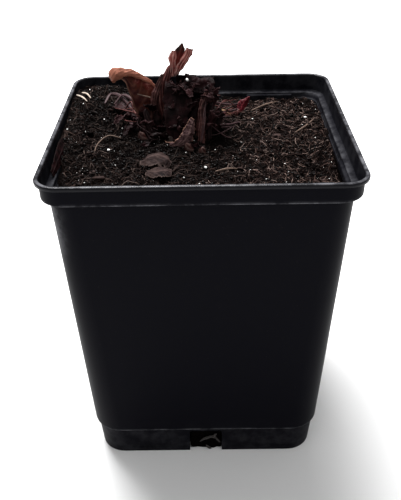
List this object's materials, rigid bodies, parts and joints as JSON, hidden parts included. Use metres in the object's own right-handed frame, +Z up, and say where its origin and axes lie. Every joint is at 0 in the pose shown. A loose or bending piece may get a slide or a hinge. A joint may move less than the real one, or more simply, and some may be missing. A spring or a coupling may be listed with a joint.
{
  "type": "potted rhubarb",
  "caption": "Rhubarb crown breaking dormancy in a square plastic nursery pot: old dead leaves, a furled red leaf and a crimson shoot in dark compost.",
  "frame": {"origin": "middle of the square that the pot stands on", "axes": "+Z up out of the pot; -Y towards the front, the side with the fallen leaf, +X to the right seen from the front; the pot's walls face X and Y"},
  "size_m": [0.155, 0.155, 0.2182],
  "materials": {
    "pot_plastic": "near-black injection-moulded polypropylene, satin, a little dusty",
    "compost": "damp peat and bark compost, nearly black, fibrous",
    "crown_bark": "knobbly dark brown rootstock",
    "young_stalk": "ridged red-brown leaf stalk, slightly shiny",
    "young_leaf": "young leaf, dull pinkish red, crumpled",
    "young_leaf_dark": "young leaf, dark red with a blackish green tip",
    "tan_leaf": "dying leaf, tan underside and red-brown face",
    "wet_leaf": "last year's leaf, wet, very dark purple-brown",
    "dry_leaf": "dead leaf, matt grey-pink",
    "mauve_stem": "limp purplish stem",
    "bud_skin": "tight leaf bud, dark red to grey",
    "crimson_leaf": "bright crimson new leaf",
    "straw": "pale dry straw and twig",
    "bark": "composted bark",
    "perlite": "white expanded perlite"
  },
  "bodies": {
    "root": {"back_leaf": "wet_leaf", "bark_flake_1": "bark", "bark_flake_10": "bark", "bark_flake_2": "bark", "bark_flake_3": "bark", "bark_flake_4": "bark", "bark_flake_5": "bark", "bark_flake_6": "bark", "bark_flake_7": "bark", "bark_flake_8": "bark", "bark_flake_9": "bark", "bud_front": "bud_skin", "bud_left": "bud_skin", "bud_right": "bud_skin", "compost": "compost", "crescent_leaf": "dry_leaf", "crown": "crown_bark", "curled_leaf": "tan_leaf", "fallen_leaf_lower": "dry_leaf", "fallen_leaf_upper": "dry_leaf", "hood_leaf": "wet_leaf", "long_fibre": "straw", "looped_stem_inner": "mauve_stem", "looped_stem_outer": "mauve_stem", "mauve_leaf": "dry_leaf", "old_stalk_left": "mauve_stem", "old_stalk_right": "mauve_stem", "perlite_grain_1": "perlite", "perlite_grain_2": "perlite", "perlite_grain_3": "perlite", "perlite_grain_4": "perlite", "pot": "pot_plastic", "red_shoot_leaf": "crimson_leaf", "red_shoot_stalk": "young_stalk", "right_leaf": "wet_leaf", "right_sheath": "young_stalk", "straw_back_inner": "straw", "straw_back_outer": "straw", "straw_on_leaf": "straw", "tan_fragment": "straw", "trailing_stem_high": "mauve_stem", "trailing_stem_low": "mauve_stem", "trailing_stem_short": "mauve_stem", "twig_back": "straw", "twig_front": "straw", "twig_right": "straw", "twisted_stem": "mauve_stem", "upright_husk": "dry_leaf", "upright_leaf_centre": "young_leaf_dark", "upright_leaf_left": "young_leaf", "upright_leaf_right": "young_leaf", "upright_stalk": "young_stalk", "wall_leaf": "dry_leaf"}
  },
  "joints": []
}
